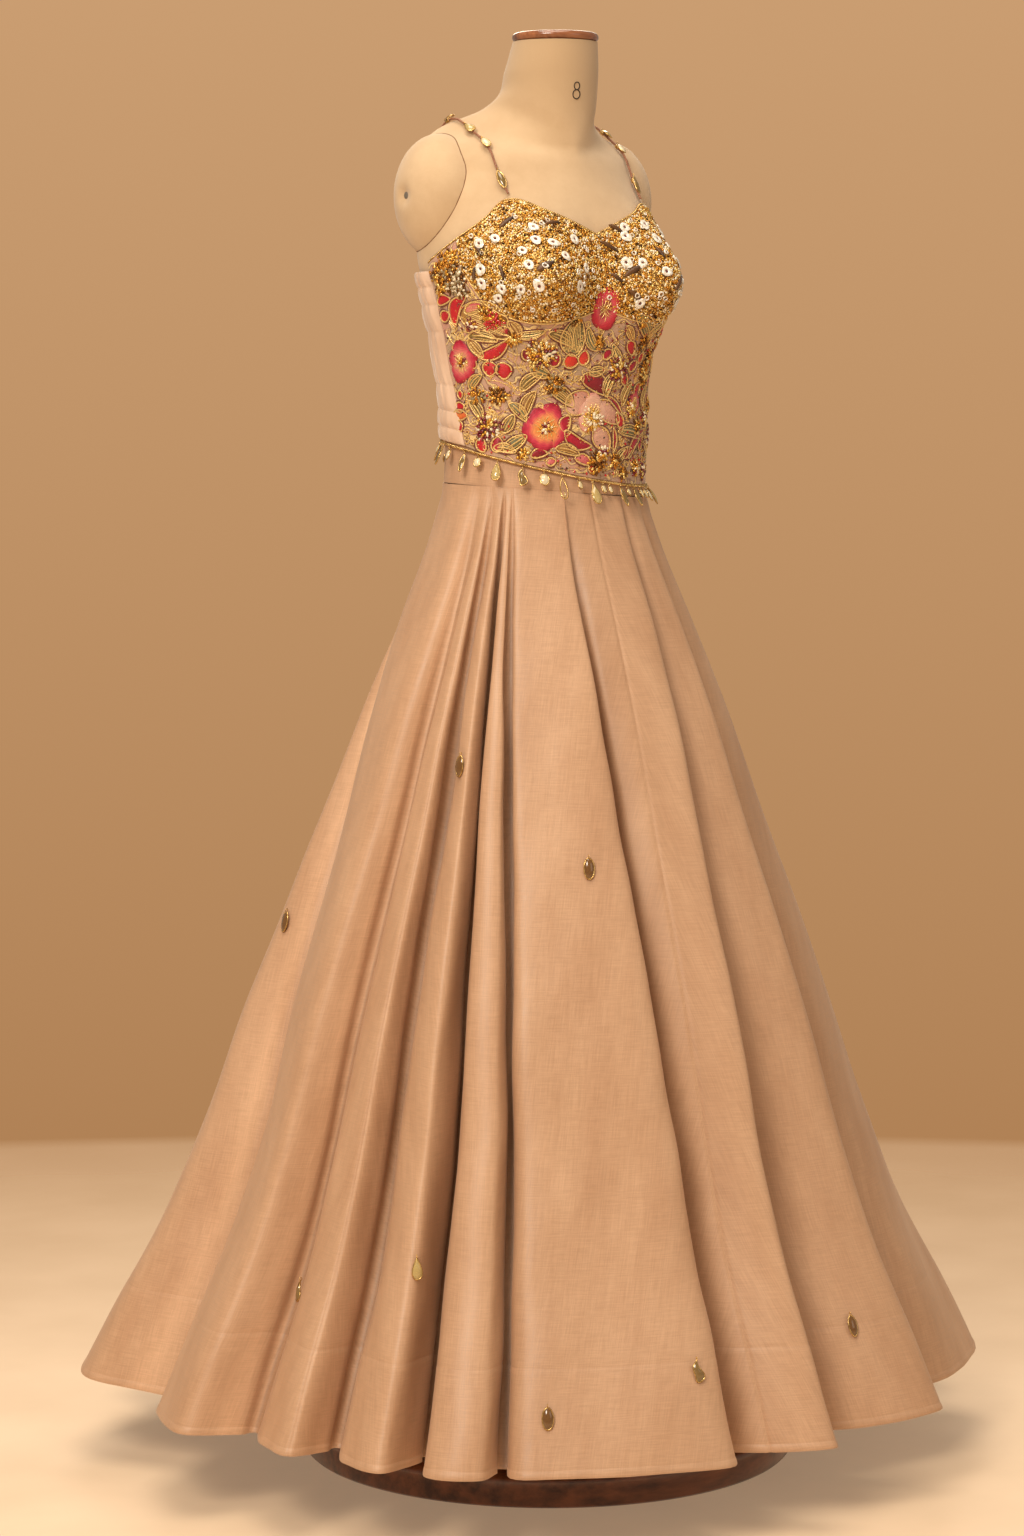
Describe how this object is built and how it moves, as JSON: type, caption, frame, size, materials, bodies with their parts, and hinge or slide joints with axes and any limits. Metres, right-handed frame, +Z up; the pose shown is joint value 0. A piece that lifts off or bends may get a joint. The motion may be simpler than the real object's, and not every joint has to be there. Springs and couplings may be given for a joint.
{
  "type": "embroidered gown on a limbless dress form with stand",
  "caption": "Sweetheart bodice with cord straps over a floor-length flared skirt, worn by a limbless dress form on a pole and a round base.",
  "frame": {"origin": "middle of the round base's underside, on the floor", "axes": "+Z up along the pole, the form faces -Y, +X is the form's own left"},
  "size_m": [0.9877, 0.9704, 1.5445],
  "materials": {
    "form_cloth": "plain cream-tan linen pulled tight",
    "cap_wood": "varnished red-brown",
    "base_wood": "varnished dark brown",
    "pole_metal": "dull grey",
    "cup_cloth": "gold cloth closely set with beads and sequins",
    "front_net": "skin-toned net with coloured thread embroidery",
    "organza": "blush organza gathered in puffs",
    "skirt_cloth": "rose-beige satin-faced cloth",
    "gold": "antique gold metal and cord"
  },
  "bodies": {
    "root": {"bodice_back": "organza", "bodice_cup_left": "cup_cloth", "bodice_cup_right": "cup_cloth", "bodice_front": "front_net", "bodice_hem_braid": "gold", "form_base": "base_wood", "form_neck_cap": "cap_wood", "form_pole": "pole_metal", "form_shoulder_left": "form_cloth", "form_shoulder_right": "form_cloth", "form_torso": "form_cloth", "neckline_binding": "gold", "skirt_drop_01": "gold", "skirt_drop_02": "gold", "skirt_drop_03": "gold", "skirt_drop_04": "gold", "skirt_drop_05": "gold", "skirt_drop_06": "gold", "skirt_drop_07": "gold", "skirt_drop_08": "gold", "skirt_drop_09": "gold", "skirt_drop_10": "gold", "skirt_drop_11": "gold", "skirt_drop_12": "gold", "skirt_drop_13": "gold", "skirt_drop_14": "gold", "skirt_drop_15": "gold", "skirt_drop_16": "gold", "skirt_drop_17": "gold", "skirt_gore_centre_back": "skirt_cloth", "skirt_gore_left_back": "skirt_cloth", "skirt_gore_left_front": "skirt_cloth", "skirt_gore_left_side": "skirt_cloth", "skirt_gore_right_back": "skirt_cloth", "skirt_gore_right_front": "skirt_cloth", "strap_left": "gold", "strap_right": "gold", "waistband": "skirt_cloth"}
  },
  "joints": []
}
